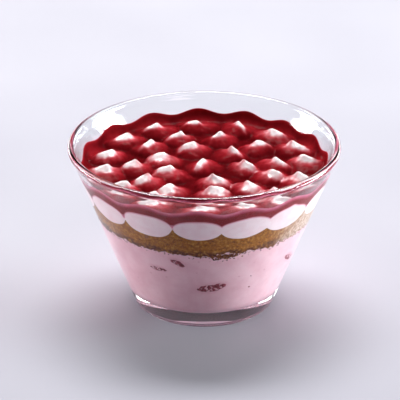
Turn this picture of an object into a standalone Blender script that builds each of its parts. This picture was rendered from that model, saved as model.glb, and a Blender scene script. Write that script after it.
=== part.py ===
"""Cheesecake cup: a conical glass filled with layers of dessert.

From the table up: a glass cup with a heavy base, strawberry cream with pieces of fruit against the
glass, a layer of biscuit crumb, a layer of piped cream dollops in rings, and berry sauce poured over
them, which follows their tips and climbs the glass a little.

Units are metres, +Z is up, and the origin is the centre of the foot, on the table.
"""

import bisect
import math
import random

import bmesh
import bpy
from mathutils import Matrix, Vector

MM = 0.001

# The cup. Its wall is a straight cone outside and inside.
CUP_HEIGHT = 63.5 * MM
RIM_RADIUS = 50.0 * MM
WALL_FOOT_RADIUS = 25.8 * MM  # where the outer wall's line meets the table
WALL_FLARE = 0.383  # radius gained for each unit of height
WALL_THICKNESS = 2.3 * MM  # square to the wall
BASE_THICKNESS = 7.0 * MM
RIM_BEAD_RADIUS = 1.3 * MM
BEAD_ARC = (186.0, -24.0)  # degrees, from the inner wall over the rim to the outer wall
BEAD_START = 3.5 * MM  # below the rim, where the wall turns into the bead
HEEL_FILLET = 2.5 * MM
FLOOR_FILLET = 5.0 * MM
FOOT_RING_WIDTH = 3.5 * MM
FOOT_RECESS = 0.8 * MM
CUP_STEPS = 64
CORNER_STEPS = 4
BEAD_STEPS = 6

# The layers, as heights above the table.
GAP = 0.3 * MM  # between neighbouring pieces
FOOD_STEPS = 56
STRAWBERRY_TOP = 37.8 * MM
FLAT_SHARE = 0.8  # of the layer's radius is level, and the rest slopes to its uneven edge
CRUMB_TOP = 48.4 * MM
LAYER_DIP = 1.3 * MM  # the crumb's lower edge dips towards the front
LAYER_DIP_ANGLE = math.radians(-85)
CRUMB_RAGGEDNESS = 0.5 * MM
BED_BOTTOM = 43.4 * MM  # the bed of cream that joins the dollops
BED_TOP = 51.6 * MM
BED_RADIUS = 37.0 * MM
BED_STEPS = 30
POOL_BOTTOM = 50.4 * MM
POOL_TOP = 52.6 * MM  # the sauce between the dollops
POOL_STEPS = 60
CLIMB_WIDTH = 3.0 * MM  # the sauce climbs the glass over this width
CLIMB_HEIGHT = 56.8 * MM
CLIMB_WAVE = 0.9 * MM  # higher beside each dollop, lower between them

# The dollops: each ring's radius and the places round it, in degrees, piped by eye.
DOLLOP_RINGS = (
    (0.0, (0,)),
    (14.8 * MM, (-77, -6, 47, 103, 162, 213)),
    (25.2 * MM, (-83, -51, -20, 3, 41, 75, 110, 141, 187, 216, 244)),
    (38.4 * MM, (-93, -70, -47, -22, 3, 25, 47, 69, 93, 117, 141, 166, 191, 216.5, 242)),
)
RING_JITTER = 0.5 * MM
DOLLOP_MIDDLE = 49.4 * MM  # height of the widest level
DOLLOP_RADIUS = 7.8 * MM
WALL_DOLLOP_RADIUS = 9.6 * MM  # those of the outer ring, pressed against the glass
DOLLOP_RISE = 5.6 * MM  # above the widest level, without the tip
DOLLOP_DEPTH = 5.8 * MM  # below it
TIP_HEIGHT = 1.2 * MM
TIP_SHARE = 0.8  # of the dollop's radius is drawn up with the tip
TIP_LEAN = 2.8 * MM  # the outer ring's tips lean inwards
TIP_WANDER = 0.7 * MM
DOLLOP_VARIATION = 0.035
DOLLOP_FACETS = (8, 8)  # round it and down it
WALL_DOLLOP_FACETS = (10, 8)
SAUCE_COAT = 0.8 * MM  # over a dollop's shoulder

# Fruit pieces in the strawberry cream, against the glass: angle in degrees, height, width,
# thickness, tilt in degrees.
FRONT_FRUIT = (
    (-85.0, 20.5 * MM, 10.5 * MM, 4.6 * MM, 12.0),
    (-105.0, 32.3 * MM, 6.0 * MM, 2.6 * MM, -30.0),
    (-118.0, 28.0 * MM, 6.6 * MM, 2.0 * MM, -4.0),
)
HIDDEN_FRUIT_COUNT = 5
HIDDEN_FRUIT_START = -28.0  # the hidden side's pieces go on round the glass from here
HIDDEN_FRUIT_STEP = 49.0
HIDDEN_FRUIT_HEIGHTS = (16.0 * MM, 31.0 * MM)
HIDDEN_FRUIT_WIDTHS = (6.0 * MM, 10.0 * MM)
HIDDEN_FRUIT_SLIMNESS = (0.35, 0.5)  # thickness over width
HIDDEN_FRUIT_TILT = 30.0
FRUIT_DEPTH = 3.4 * MM
FRUIT_UNEVENNESS = (0.88, 1.08)
FRUIT_INSET = 0.9 * MM  # from the glass to a piece's middle

TURN_MERGE = 0.01 * MM
SEAM_WELD = 0.02 * MM
SMOOTH_ANGLE = math.radians(35)
SEED = 7
GLASS = ("glass", (0.93, 0.95, 0.96), 0.02, 1.0)
STRAWBERRY_CREAM = ("strawberry_cream", (0.86, 0.62, 0.68), 0.45, 0.0)
BISCUIT = ("biscuit", (0.42, 0.23, 0.08), 0.75, 0.0)
WHITE_CREAM = ("white_cream", (0.93, 0.89, 0.88), 0.4, 0.0)
SAUCE = ("berry_sauce", (0.42, 0.01, 0.03), 0.08, 0.0)
FRUIT = ("fruit", (0.40, 0.04, 0.08), 0.4, 0.0)

SLANT = math.hypot(1.0, WALL_FLARE)  # level width of a unit of wall thickness
WALL_ANGLE = math.degrees(math.atan(WALL_FLARE))
INNER_FOOT_RADIUS = WALL_FOOT_RADIUS - WALL_THICKNESS * SLANT
FOOD_FOOT_RADIUS = INNER_FOOT_RADIUS - GAP * SLANT


def clear_scene():
    for obj in list(bpy.data.objects):
        bpy.data.objects.remove(obj, do_unlink=True)


def new_collection(name):
    collection = bpy.data.collections.new(name)
    bpy.context.scene.collection.children.link(collection)
    return collection


def remove_collection(collection):
    for obj in list(collection.objects):
        bpy.data.objects.remove(obj, do_unlink=True)
    bpy.data.collections.remove(collection)


def make_material(look):
    name, colour, roughness, transmission = look
    material = bpy.data.materials.new(name)
    material.use_nodes = True
    shader = material.node_tree.nodes["Principled BSDF"]
    shader.inputs["Base Color"].default_value = (*colour, 1.0)
    shader.inputs["Roughness"].default_value = roughness
    shader.inputs["Transmission Weight"].default_value = transmission
    return material


def from_bmesh(name, shape, collection, look=None):
    mesh = bpy.data.meshes.new(name)
    shape.to_mesh(mesh)
    shape.free()
    if look:
        mesh.materials.append(make_material(look))
    obj = bpy.data.objects.new(name, mesh)
    collection.objects.link(obj)
    return obj


def apply_modifiers(obj):
    """Replaces the object's mesh by its evaluated one."""
    graph = bpy.context.evaluated_depsgraph_get()
    made = bpy.data.meshes.new_from_object(obj.evaluated_get(graph))
    obj.modifiers.clear()
    obj.data = made
    return obj


def turned(name, profile, steps, collection, look=None):
    """A solid turned about Z. The profile is (radius, height) points, down the outer side."""
    shape = bmesh.new()
    points = [shape.verts.new((radius, 0.0, height)) for radius, height in profile]
    for start, end in zip(points, points[1:]):
        shape.edges.new((start, end))
    obj = from_bmesh(name, shape, collection, look)
    screw = obj.modifiers.new("turn", "SCREW")
    screw.axis = "Z"
    screw.steps = steps
    screw.render_steps = steps
    screw.use_merge_vertices = True
    screw.merge_threshold = TURN_MERGE
    return apply_modifiers(obj)


def combine(obj, other, operation):
    """A Boolean of obj with an object, or with all the objects of a collection, applied."""
    boolean = obj.modifiers.new(operation.lower(), "BOOLEAN")
    boolean.operation = operation
    boolean.solver = "EXACT"
    if isinstance(other, bpy.types.Collection):
        boolean.operand_type = "COLLECTION"
        boolean.collection = other
    else:
        boolean.object = other
    return weld(apply_modifiers(obj))


def sorted_copy(mesh):
    """The same mesh in a fixed order, because a Boolean gives its points and faces in any order."""
    order = sorted(mesh.vertices, key=lambda vertex: tuple(vertex.co))
    rank = {vertex.index: place for place, vertex in enumerate(order)}
    faces = []
    for polygon in mesh.polygons:
        corners = [rank[index] for index in polygon.vertices]
        start = corners.index(min(corners))
        faces.append(corners[start:] + corners[:start])
    copy = bpy.data.meshes.new(mesh.name)
    copy.from_pydata([vertex.co for vertex in order], [], sorted(faces))
    return copy


def weld(obj):
    """Merges the points of slivers that a Boolean leaves along its seams."""
    shape = bmesh.new()
    shape.from_mesh(sorted_copy(obj.data))
    bmesh.ops.remove_doubles(shape, verts=shape.verts, dist=SEAM_WELD)
    bmesh.ops.dissolve_degenerate(shape, edges=shape.edges, dist=SEAM_WELD)
    shape.to_mesh(obj.data)
    shape.free()
    return obj


def arc(radius, height, size, start, end, steps):
    """Points (radius, height) on a round corner, from one angle to another in degrees."""
    angles = (math.radians(start + (end - start) * step / steps) for step in range(steps + 1))
    return [(radius + size * math.cos(a), height + size * math.sin(a)) for a in angles]


def wall_radius(height, foot_radius):
    return foot_radius + WALL_FLARE * height


def floor_corner(foot_radius, floor, fillet):
    """The round corner from a floor up to the line of a wall."""
    middle = floor + fillet
    centre = wall_radius(middle, foot_radius) - fillet * SLANT
    return arc(centre, middle, fillet, -90.0, -WALL_ANGLE, CORNER_STEPS)


def make_cup(collection):
    bead_start = CUP_HEIGHT - BEAD_START
    inside = [(0.0, BASE_THICKNESS)]
    inside += floor_corner(INNER_FOOT_RADIUS, BASE_THICKNESS, FLOOR_FILLET)
    inside += [(wall_radius(bead_start, INNER_FOOT_RADIUS), bead_start)]
    bead_middle = CUP_HEIGHT - RIM_BEAD_RADIUS
    bead = arc(RIM_RADIUS - RIM_BEAD_RADIUS, bead_middle, RIM_BEAD_RADIUS, *BEAD_ARC, BEAD_STEPS)
    heel = floor_corner(WALL_FOOT_RADIUS, 0.0, HEEL_FILLET)
    outside = [(wall_radius(bead_start, WALL_FOOT_RADIUS), bead_start)] + heel[::-1]
    ring_inside = heel[0][0] - FOOT_RING_WIDTH
    underside = [(ring_inside, 0.0), (ring_inside - FOOT_RECESS, FOOT_RECESS), (0.0, FOOT_RECESS)]
    return turned("glass_cup", inside + bead + outside + underside, CUP_STEPS, collection, GLASS)


def move_ring(obj, radius, height, new_height, foot_radius=None):
    """Moves a turned solid's ring of points to a height for each angle, along the wall's cone.

    Its four-sided faces are then split the shorter way, so that two facing surfaces are split alike.
    """
    shape = bmesh.new()
    shape.from_mesh(obj.data)
    for vertex in shape.verts:
        ring = vertex.co.xy
        if abs(ring.length - radius) < TURN_MERGE and abs(vertex.co.z - height) < TURN_MERGE:
            vertex.co.z = new_height(math.atan2(ring.y, ring.x))
            if foot_radius:
                vertex.co.xy = ring.normalized() * wall_radius(vertex.co.z, foot_radius)
    bmesh.ops.triangulate(shape, faces=shape.faces, quad_method="SHORT_EDGE")
    shape.to_mesh(obj.data)
    shape.free()


def crumb_edge(angle):
    """Height of the crumb's lower edge at the glass."""
    wander = random.Random(round(math.degrees(angle)) % 360)
    dip = LAYER_DIP * math.cos(angle - LAYER_DIP_ANGLE)
    return STRAWBERRY_TOP - dip + CRUMB_RAGGEDNESS * wander.uniform(-1.0, 1.0)


def make_strawberry_cream(collection, pockets):
    top = STRAWBERRY_TOP
    edge = wall_radius(top, FOOD_FOOT_RADIUS)
    floor = BASE_THICKNESS + GAP
    profile = [(0.0, top), (FLAT_SHARE * edge, top), (edge, top)]
    profile += floor_corner(FOOD_FOOT_RADIUS, floor, FLOOR_FILLET - GAP)[::-1]
    profile += [(0.0, floor)]
    cream = turned("strawberry_cream", profile, FOOD_STEPS, collection, STRAWBERRY_CREAM)
    move_ring(cream, edge, top, crumb_edge, FOOD_FOOT_RADIUS)
    return combine(cream, pockets, "DIFFERENCE")


def make_crumb(collection, grown_cream):
    bottom = STRAWBERRY_TOP + GAP
    edge = wall_radius(bottom, FOOD_FOOT_RADIUS)
    profile = [(0.0, CRUMB_TOP), (wall_radius(CRUMB_TOP, FOOD_FOOT_RADIUS), CRUMB_TOP)]
    profile += [(edge, bottom), (FLAT_SHARE * edge, bottom), (0.0, bottom)]
    crumb = turned("biscuit_crumb", profile, FOOD_STEPS, collection, BISCUIT)
    move_ring(crumb, edge, bottom, lambda angle: crumb_edge(angle) + GAP, FOOD_FOOT_RADIUS)
    return combine(crumb, grown_cream, "DIFFERENCE")


def make_inside(collection):
    """The space above the cup's floor that food may fill: the cup's inside, less the gap."""
    bottom = BASE_THICKNESS + FLOOR_FILLET
    top = CUP_HEIGHT - BEAD_START
    profile = [(0.0, top), (wall_radius(top, FOOD_FOOT_RADIUS), top)]
    profile += [(wall_radius(bottom, FOOD_FOOT_RADIUS), bottom), (0.0, bottom)]
    return turned("inside", profile, FOOD_STEPS, collection)


def dollop_places():
    """(x, y, whether at the glass) of each dollop."""
    wander = random.Random(SEED)
    places = []
    for radius, angles in DOLLOP_RINGS:
        for angle in angles:
            turn = math.radians(angle)
            x = radius * math.cos(turn) + RING_JITTER * wander.uniform(-1.0, 1.0)
            y = radius * math.sin(turn) + RING_JITTER * wander.uniform(-1.0, 1.0)
            places.append((x, y, radius == DOLLOP_RINGS[-1][0]))
    return places


def make_dollop(place, collection, wander, grow, flat_bottom):
    """One piped dollop, or with grow a larger form of it: a squashed ball with a drawn-out tip."""
    x, y, at_glass = place
    lean = Vector((wander.uniform(-1.0, 1.0), wander.uniform(-1.0, 1.0), 0.0)) * TIP_WANDER
    if at_glass:
        lean -= Vector((x, y, 0.0)).normalized() * TIP_LEAN
    size = 1.0 + DOLLOP_VARIATION * wander.uniform(-1.0, 1.0)
    radius = (WALL_DOLLOP_RADIUS if at_glass else DOLLOP_RADIUS) * size + grow
    sides, levels = WALL_DOLLOP_FACETS if at_glass else DOLLOP_FACETS
    shape = bmesh.new()
    bmesh.ops.create_uvsphere(shape, u_segments=sides, v_segments=levels, radius=1.0)
    for vertex in shape.verts:
        share = vertex.co.xy.length
        above = vertex.co.z > 0.0
        vertex.co.z *= (DOLLOP_RISE if above else DOLLOP_DEPTH) * size + grow
        vertex.co.xy *= radius
        if above:
            vertex.co += lean * (1.0 - share) ** 2
            vertex.co.z += TIP_HEIGHT * max(0.0, 1.0 - share / TIP_SHARE) ** 2
        vertex.co.z = max(vertex.co.z, flat_bottom - DOLLOP_MIDDLE)
    bmesh.ops.translate(shape, verts=shape.verts, vec=(x, y, DOLLOP_MIDDLE))
    return from_bmesh("dollop", shape, collection)


def make_dollops(grow, flat_bottom=0.0):
    dollops = new_collection("dollops")
    wander = random.Random(SEED)
    for place in dollop_places():
        make_dollop(place, dollops, wander, grow, flat_bottom)
    return dollops


def make_piped_cream(name, collection, grow=0.0, look=None):
    """The dollops and their bed as one solid, larger by grow where it is a cutter."""
    dollops = make_dollops(grow)
    radius = BED_RADIUS + grow
    profile = [(0.0, BED_TOP + grow), (radius, BED_TOP + grow)]
    profile += [(radius, BED_BOTTOM - grow), (0.0, BED_BOTTOM - grow)]
    cream = turned(name, profile, BED_STEPS, collection, look)
    combine(cream, dollops, "UNION")
    remove_collection(dollops)
    return cream


def climb_edge(angle):
    """Height of the sauce's edge on the glass, which follows the outer ring of dollops."""
    ring = sorted(DOLLOP_RINGS[-1][1])
    ring.append(ring[0] + 360.0)
    turn = (math.degrees(angle) - ring[0]) % 360.0 + ring[0]
    after = min(bisect.bisect_right(ring, turn), len(ring) - 1)
    phase = (turn - ring[after - 1]) / (ring[after] - ring[after - 1])
    return CLIMB_HEIGHT + CLIMB_WAVE * math.cos(2.0 * math.pi * phase)


def make_sauce(collection, inside, grown_cream):
    """The pool between the dollops and the coat over them, less the dollops."""
    coats = make_dollops(GAP + SAUCE_COAT, 0.5 * (POOL_BOTTOM + POOL_TOP))
    climb = wall_radius(CLIMB_HEIGHT, FOOD_FOOT_RADIUS)
    beyond = RIM_RADIUS  # cut back to the glass below
    profile = [(0.0, POOL_TOP), (climb - CLIMB_WIDTH, POOL_TOP), (climb, CLIMB_HEIGHT)]
    profile += [(beyond, CLIMB_HEIGHT), (beyond, POOL_BOTTOM), (0.0, POOL_BOTTOM)]
    sauce = turned("berry_sauce", profile, POOL_STEPS, collection, SAUCE)
    move_ring(sauce, climb, CLIMB_HEIGHT, climb_edge)
    move_ring(sauce, beyond, CLIMB_HEIGHT, climb_edge)
    combine(sauce, coats, "UNION")
    remove_collection(coats)
    combine(sauce, inside, "INTERSECT")
    return combine(sauce, grown_cream, "DIFFERENCE")


def fruit_places():
    """(angle, height, width, thickness, tilt) of each fruit piece."""
    wander = random.Random(SEED)
    places = list(FRONT_FRUIT)
    for index in range(HIDDEN_FRUIT_COUNT):
        angle = HIDDEN_FRUIT_START + HIDDEN_FRUIT_STEP * index
        width = wander.uniform(*HIDDEN_FRUIT_WIDTHS)
        thickness = width * wander.uniform(*HIDDEN_FRUIT_SLIMNESS)
        height = wander.uniform(*HIDDEN_FRUIT_HEIGHTS)
        tilt = HIDDEN_FRUIT_TILT * wander.uniform(-1.0, 1.0)
        places.append((angle, height, width, thickness, tilt))
    return places


def make_fruit_piece(name, place, collection, grow=0.0, look=None):
    """An uneven pebble of fruit whose long side lies along the glass."""
    angle, height, width, thickness, tilt = place
    wander = random.Random(round(angle))
    shape = bmesh.new()
    bmesh.ops.create_icosphere(shape, subdivisions=1, radius=1.0)
    for vertex in shape.verts:
        vertex.co *= wander.uniform(*FRUIT_UNEVENNESS)
    size = Matrix.Diagonal((FRUIT_DEPTH / 2 + grow, width / 2 + grow, thickness / 2 + grow, 1.0))
    lean = Matrix.Rotation(math.atan(WALL_FLARE), 4, "Y")
    lean @= Matrix.Rotation(math.radians(tilt), 4, "X")
    middle = wall_radius(height, FOOD_FOOT_RADIUS) - FRUIT_INSET
    turn = Matrix.Rotation(math.radians(angle), 4, "Z")
    shape.transform(turn @ Matrix.Translation((middle, 0.0, height)) @ lean @ size)
    return from_bmesh(name, shape, collection, look)


def make_fruit(collection, inside):
    for index, place in enumerate(fruit_places(), start=1):
        piece = make_fruit_piece(f"fruit_piece_{index}", place, collection, look=FRUIT)
        combine(piece, inside, "INTERSECT")


def make_fruit_pockets():
    pockets = new_collection("fruit_pockets")
    for place in fruit_places():
        make_fruit_piece("pocket", place, pockets, GAP)
    return pockets


def main():
    clear_scene()
    parts = new_collection("cheesecake_cup")
    cutters = new_collection("cutters")
    inside = make_inside(cutters)
    pockets = make_fruit_pockets()
    grown_cream = make_piped_cream("grown_cream", cutters, GAP)

    make_cup(parts)
    make_fruit(parts, inside)
    make_strawberry_cream(parts, pockets)
    make_crumb(parts, grown_cream)
    piped_cream = make_piped_cream("piped_cream", parts, look=WHITE_CREAM)
    combine(piped_cream, inside, "INTERSECT")
    make_sauce(parts, inside, grown_cream)
    remove_collection(pockets)
    remove_collection(cutters)
    for part in parts.objects:
        part.data.shade_smooth()
        part.data.set_sharp_from_angle(angle=SMOOTH_ANGLE)


main()
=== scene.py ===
"""The cheesecake cup dressed for its picture: fine food and glass, materials, light and camera.

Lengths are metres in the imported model's frame: +Z up, the foot's centre at the origin, and the side
that the photograph shows towards -Y.
"""

import math
import random

import bmesh
import bpy
import numpy as np
from mathutils import Matrix, Vector, noise


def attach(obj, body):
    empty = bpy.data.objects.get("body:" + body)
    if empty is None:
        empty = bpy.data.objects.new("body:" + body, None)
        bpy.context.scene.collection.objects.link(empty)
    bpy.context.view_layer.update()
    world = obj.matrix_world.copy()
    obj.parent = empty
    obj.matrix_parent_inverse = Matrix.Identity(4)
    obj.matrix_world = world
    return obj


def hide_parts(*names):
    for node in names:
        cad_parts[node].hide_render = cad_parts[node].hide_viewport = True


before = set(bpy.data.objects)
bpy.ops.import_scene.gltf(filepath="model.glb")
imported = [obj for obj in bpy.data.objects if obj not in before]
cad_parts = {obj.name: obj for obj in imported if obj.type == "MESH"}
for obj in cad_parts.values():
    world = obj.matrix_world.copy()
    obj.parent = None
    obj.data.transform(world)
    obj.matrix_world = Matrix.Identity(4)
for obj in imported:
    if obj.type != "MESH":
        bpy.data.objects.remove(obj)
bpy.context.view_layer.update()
MM = 0.001
SEED = 7
FULL_TURN = 2.0 * math.pi

# The cup, as in the CAD.
CUP_HEIGHT = 63.48 * MM
RIM_RADIUS = 49.95 * MM
WALL_FOOT_RADIUS = 25.8 * MM
WALL_FLARE = 0.383
WALL_THICKNESS = 2.3 * MM
BASE_THICKNESS = 7.0 * MM
RIM_BEAD_RADIUS = 1.3 * MM
BEAD_START = 3.5 * MM
BEAD_TURN = (172.0, -10.0)  # degrees, from the inside over the top to the outside
HEEL_FILLET = 2.5 * MM
FLOOR_FILLET = 5.0 * MM
FOOT_RING_WIDTH = 3.5 * MM
FOOT_RECESS = 0.8 * MM
SLANT = math.hypot(1.0, WALL_FLARE)
WALL_ANGLE = math.atan(WALL_FLARE)
INNER_FOOT_RADIUS = WALL_FOOT_RADIUS - WALL_THICKNESS * SLANT
FAN_RADIUS = 2.0 * MM  # the floor and the foot are closed by fans inside it

# The pressed wall's unevenness, which is less on the inside where food lies against it.
RIPPLE = 0.14 * MM
FILLED_RIPPLE = 0.03 * MM
RIPPLE_SIZE = 11 * MM
RIPPLE_TALLNESS = 2.0
RIPPLE_START = (10 * MM, 20 * MM)
RIPPLE_END = 4 * MM  # below the rim

# Points round each piece, and rings over its top, down its side at the wall and under it. An edge of
# more than SHARP_ANGLE stays sharp.
CUP_SIDES = 512
CREAM_SIDES = 360
CREAM_WALL_RINGS = 60
CRUMB_SIDES = 720
CRUMB_RINGS_OVER = 26
CRUMB_WALL_RINGS = 30
DOLLOP_SIDES = 480
DOLLOP_RINGS_OVER = 56
DOLLOP_WALL_RINGS = 22
DOLLOP_RINGS_UNDER = 40
SAUCE_SIDES = 540
SAUCE_RINGS_OVER = 134
SAUCE_WALL_RINGS = 12
SAUCE_RINGS_UNDER = 20
CROWDING = 0.8
SAUCE_CROWDING = 0.78
SHARP_ANGLE = math.radians(48)

# How far each food reaches into the wall, so that no air shows behind the glass.
CREAM_REACH = 0.08 * MM
CRUMB_REACH = 0.13 * MM
DOLLOP_REACH = 0.18 * MM
SAUCE_REACH = 0.23 * MM
GRAIN_REACH = 0.28 * MM
TUCK = 0.9 * MM  # of a lower layer hides behind the one above it
CRUMB_OVERLAP = 0.25 * MM
SAUCE_OVERLAP = 0.15 * MM
EDGE_GUESS = 50 * MM  # where the search for a layer's height at the wall starts
EDGE_ROUNDS = 25

# The layers, as in the CAD.
STRAWBERRY_TOP = 37.8 * MM
LAYER_DIP = 1.3 * MM
LAYER_DIP_ANGLE = math.radians(-85)
CRUMB_TOP = 48.4 * MM
BED_BOTTOM = 43.4 * MM
BED_TOP = 51.6 * MM
BED_RADIUS = 37.0 * MM
POOL_BOTTOM = 50.4 * MM
POOL_TOP = 52.6 * MM
CLIMB_HEIGHT = 56.8 * MM
CLIMB_WAVE = 0.9 * MM

# The layers' hidden rings, by their radius or their share of the wall's.
LEVEL_SHARES = (0.1, 0.4, 0.7)
FLOOR_RADII = (12 * MM, 3 * MM)
CRUMB_BOTTOM_SHARES = (1.0, 0.985, 0.96, 0.8, 0.5, 0.1)
LEVELLING = 5.0  # the crumb's ragged edge is level a fifth of the way in
CREAM_MIDDLE = BED_TOP + 3 * MM

# The dollops, as in the CAD: (ring's radius, angles in degrees).
DOLLOP_RINGS = (
    (0.0, (0,)),
    (14.8 * MM, (-77, -6, 47, 103, 162, 213)),
    (25.2 * MM, (-83, -51, -20, 3, 41, 75, 110, 141, 187, 216, 244)),
    (38.4 * MM, (-93, -70, -47, -22, 3, 25, 47, 69, 93, 117, 141, 166, 191, 216.5, 242)),
)
RING_JITTER = 0.5 * MM
DOLLOP_MIDDLE = 49.4 * MM
DOLLOP_RADIUS = 7.8 * MM
WALL_DOLLOP_RADIUS = 9.6 * MM
DOLLOP_RISE = 5.6 * MM
DOLLOP_DEPTH = 5.8 * MM
DOLLOP_VARIATION = 0.035
TIP_LEAN = 2.8 * MM
TIP_WANDER = 0.7 * MM

# What the CAD leaves out of the dollops' shape. Shares are of a dollop's radius.
SHOULDER_DROP = 0.6 * MM  # the shoulders are this much lower than a ball's
TIP_SHARE = 0.8
TIP_UNEVENNESS = 0.6  # of the tips' heights
CREST_STRETCH = 2.0  # a crest is longer than it is wide
SPIKE_HEIGHT = 0.7 * MM
SPIKE_SHARE = 0.12
RIDGE_HEIGHT = 1.2 * MM
RIDGE_WIDTH = 1.9 * MM
RIDGE_START = (-2.5 * MM, 1.0 * MM)  # along the tail, from the tip
RIDGE_FADE = 1.5
FAR_FALL = 0.4  # how much steeper a dollop is behind its crest
SKIRT_SHARE = 1.35  # a dollop is worked out as far as this, and falls away beyond its edge
SKIRT_SLOPE = 1.5
LEAN_ROUNDS = 14
NO_DOLLOP_HEIGHT = DOLLOP_MIDDLE - 4 * MM
FAR = 9.0  # further than any distance or share that is worked out
WARP = 0.95 * MM
WARP_SIZE = 6.5 * MM
CREAM_BLEND = 0.5 * MM
DESSERT_RADIUS = 38 * MM

# The pale patches at the tips are partly bare cream and partly a painted highlight.
# The front ones are larger and plumper.
PATCH_LENGTH = 4.3 * MM  # half of it, along its tail
PATCH_WIDTH = 2.1 * MM
PATCH_OFFSET = 0.6  # of its length, along the tail, from the tip to the patch's middle
PATCH_DROP = 1.3 * MM  # the patch lies down the near side of its tip
PATCH_NARROWING = 0.25  # of its width, towards the tail's end
PATCH_ENDS = (-1.0, 1.2)
PATCH_SIZES = (0.78, 0.40)  # at the back, and how much more at the front
PATCH_PLUMPNESS = (0.62, 0.56)
SIZE_VARIATION = (0.78, 1.18)
PLUMPNESS_VARIATION = (0.75, 1.25)
TAIL_DROP = 0.25  # how far a tail points towards the front
TAIL_LEAST = 0.15
TAIL_WANDER = 0.4
PARTING_SLANT = 0.35  # of the line between tails to the left and to the right
PARTING_WIDTH = 9 * MM

# The sauce's form.
SAUCE_COAT = 1.1 * MM
SAUCE_BLEND = 0.9 * MM
HILL_LUMPS = 0.25 * MM
HILL_LUMP_SIZE = 2.8 * MM
POOL_LUMPS = 0.1 * MM
POOL_LUMP_SIZE = 5 * MM
CLIMB_DECAY = 1.8 * MM
CLIMB_BLEND = 0.4 * MM

# How much sauce lies over the cream, in effect, in millimetres. Each step is (amount, start, end,
# raggedness), by the distance from the middle of the nearest pale patch, whose edge is at 1. Where
# there is little, the patch shows partly bare cream and partly a painted highlight.
BARE_AND_HIGHLIGHT_COVER = 0.01
PATCH_STEPS = ((0.35, 0.55, 0.95, 0.35), (0.75, 0.85, 1.4, 0.35), (0.8, 1.3, 2.3, 0.3))
SHOULDER_STEP = (0.7, 0.4, 0.8, 0.08)  # the same, by the share of the dollop's radius
CREASE_STEP = (1.1, 0.66, 0.88, 0.05)
DULL_STEP = (0.96, 0.75, 1.1, 0.3)  # where the sauce has lost its gloss, by the distance
BLOTCH_SIZE = 2.2 * MM
NEAR_GLASS = 2.0 * MM
NEAR_DULL = 0.4
GLASS_COVER = (1.8, 1.6)  # on the inner side, at the edge on the glass, and how much more below it
GLASS_COVER_DEPTH = 1.5 * MM
WALL_COVER = (0.55, 1.15)  # the same, on the side that shows through the glass
WALL_COVER_DEPTH = (0.3 * MM, 2.4 * MM)
THIN_COVER = 0.35  # of it is left where the sauce thins out at its lower edge
THIN_HEIGHT = 0.5 * MM

# What the sauce lets through of the cream below it, for each millimetre, and its own colour.
SAUCE_OVER = np.array([0.93, 0.86, 0.87])
SAUCE_DIMMING = np.array([1.9, 2.9, 2.75])
SAUCE_ALONE = np.array([0.47, 0.014, 0.023])
SAUCE_DARKENING = 0.42  # of its own colour, for each millimetre
# Along the thin upper edge on the glass: partly the thin film's paler colour, partly a painted
# purple-pink reflection.
FILM_PINK_AND_REFLECTION = np.array([0.07, 0.035, 0.11])  # what its thin upper edge on the glass has besides
FILM_DEPTH = (2.4 * MM, 0.2 * MM)
BLUSH = np.array([0.25, 0.75, 0.62])  # what the sauce takes from the cream along their edge
BLUSH_DEPTH = (0.1 * MM, 0.9 * MM)

# The crumb's ragged lower edge, as (depth, size), and where cream is smeared over it at the glass.
EDGE_RAGS = ((1.3 * MM, 4.0 * MM), (0.7 * MM, 1.4 * MM))
DARK_EDGE_HEIGHT = 4.2 * MM
SMEAR_ANGLE = math.radians(-18)
SMEAR_WIDTH = math.radians(38)
SMEAR_FULL = 0.2  # of its width is smeared in full
SMEAR_AMOUNT = 1.25
SMEAR_BLOTCHES = 0.9
SMEAR_SIZE = 2.6 * MM
SMEAR_MOST = 0.85

# Fruit pieces in the strawberry cream: angle in degrees, height, width, thickness, tilt in degrees.
FRONT_FRUIT = (
    (-85.0, 20.5 * MM, 10.5 * MM, 4.6 * MM, 12.0),
    (-105.0, 32.3 * MM, 6.0 * MM, 2.6 * MM, -30.0),
    (-118.0, 28.0 * MM, 6.6 * MM, 2.0 * MM, -4.0),
)
FRUIT_SHOWING = (0.36, 1.1, 0.1)  # how freely the front pieces' knobs reach the glass
HIDDEN_FRUIT_SHOWING = 0.2
HIDDEN_FRUIT_COUNT = 5
HIDDEN_FRUIT_START = -28.0
HIDDEN_FRUIT_STEP = 49.0
HIDDEN_FRUIT_HEIGHTS = (16.0 * MM, 31.0 * MM)
HIDDEN_FRUIT_WIDTHS = (6.0 * MM, 10.0 * MM)
HIDDEN_FRUIT_SLIMNESS = (0.35, 0.5)
HIDDEN_FRUIT_TILT = 30.0
FRUIT_DEPTH = 3.4 * MM
FRUIT_INSET = 0.85 * MM  # from the inner wall to a piece's middle
FRUIT_ROUGHNESS = 0.16
FRUIT_ROUGHNESS_SIZE = 0.55  # of the piece's half
KNOB_CONTRAST = 1.8
KNOB_SIZE = 1.1 * MM
KNOB_DEPTH = 0.5 * MM
KNOB_RANGE = (-0.5, 0.3)
JUICE_MARGIN = 0.9 * MM  # the cream is stained this far round a piece
JUICE_MOST = 0.42
JUICE_FADE = (1.15, 0.55)
JUICE_EVEN = 0.75
JUICE_BLOTCHES = 0.6
JUICE_SIZE = 1.8 * MM

# Loose crumbs along the layer's lower edge, with a cluster of them where the photograph shows one.
CRUMB_BROWNS = ((0.12, 0.022, 0.003), (0.20, 0.05, 0.006), (0.34, 0.12, 0.02), (0.08, 0.012, 0.002))
EDGE_CRUMB_COUNT = 1500
EDGE_CRUMB_RISE = 0.6 * MM
EDGE_CRUMB_SCATTER = 0.75
EDGE_CRUMB_SIZES = (0.16, 0.55)  # millimetres
CLUSTER_COUNT = 260
CLUSTER_ANGLE = -80
CLUSTER_SPREAD = 5.0
CLUSTER_SCATTER = 1.1
CLUSTER_SIZES = (0.3, 0.75)

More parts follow.
